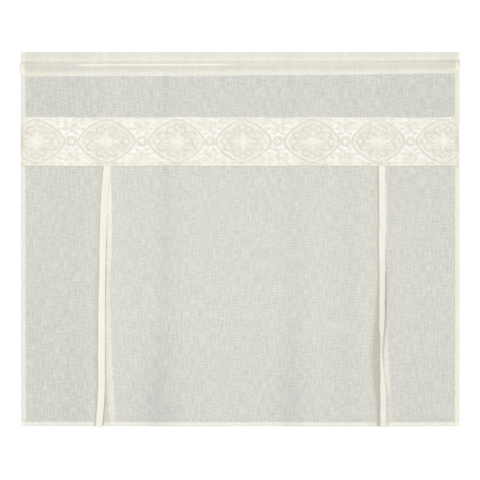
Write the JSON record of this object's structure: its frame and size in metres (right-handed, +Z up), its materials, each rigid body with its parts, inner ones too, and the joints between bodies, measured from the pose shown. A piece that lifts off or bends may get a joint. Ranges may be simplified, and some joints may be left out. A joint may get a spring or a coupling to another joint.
{
  "type": "net curtain",
  "caption": "Sheer rod-pocket net curtain with a wide lace insert and pairs of hanging ties in front and behind, hung flat.",
  "frame": {"origin": "middle of the curtain's top edge, where it is held", "axes": "+X to the right as seen from the front, the front faces -Y, +Z up"},
  "size_m": [1.4068, 0.0467, 1.2001],
  "materials": {
    "net_cloth": "sheer unbleached plain weave with slubs",
    "heading_cloth": "the same cloth in two layers",
    "cotton_lace": "matt cotton lace",
    "tie_cloth": "cream cloth folded to a strip"
  },
  "bodies": {
    "root": {"rod_pocket": "heading_cloth", "upper_panel": "net_cloth", "lace_band": "cotton_lace", "lower_panel": "net_cloth", "tie_front_left": "tie_cloth", "tie_front_right": "tie_cloth", "tie_back_left": "tie_cloth", "tie_back_right": "tie_cloth"}
  },
  "joints": []
}
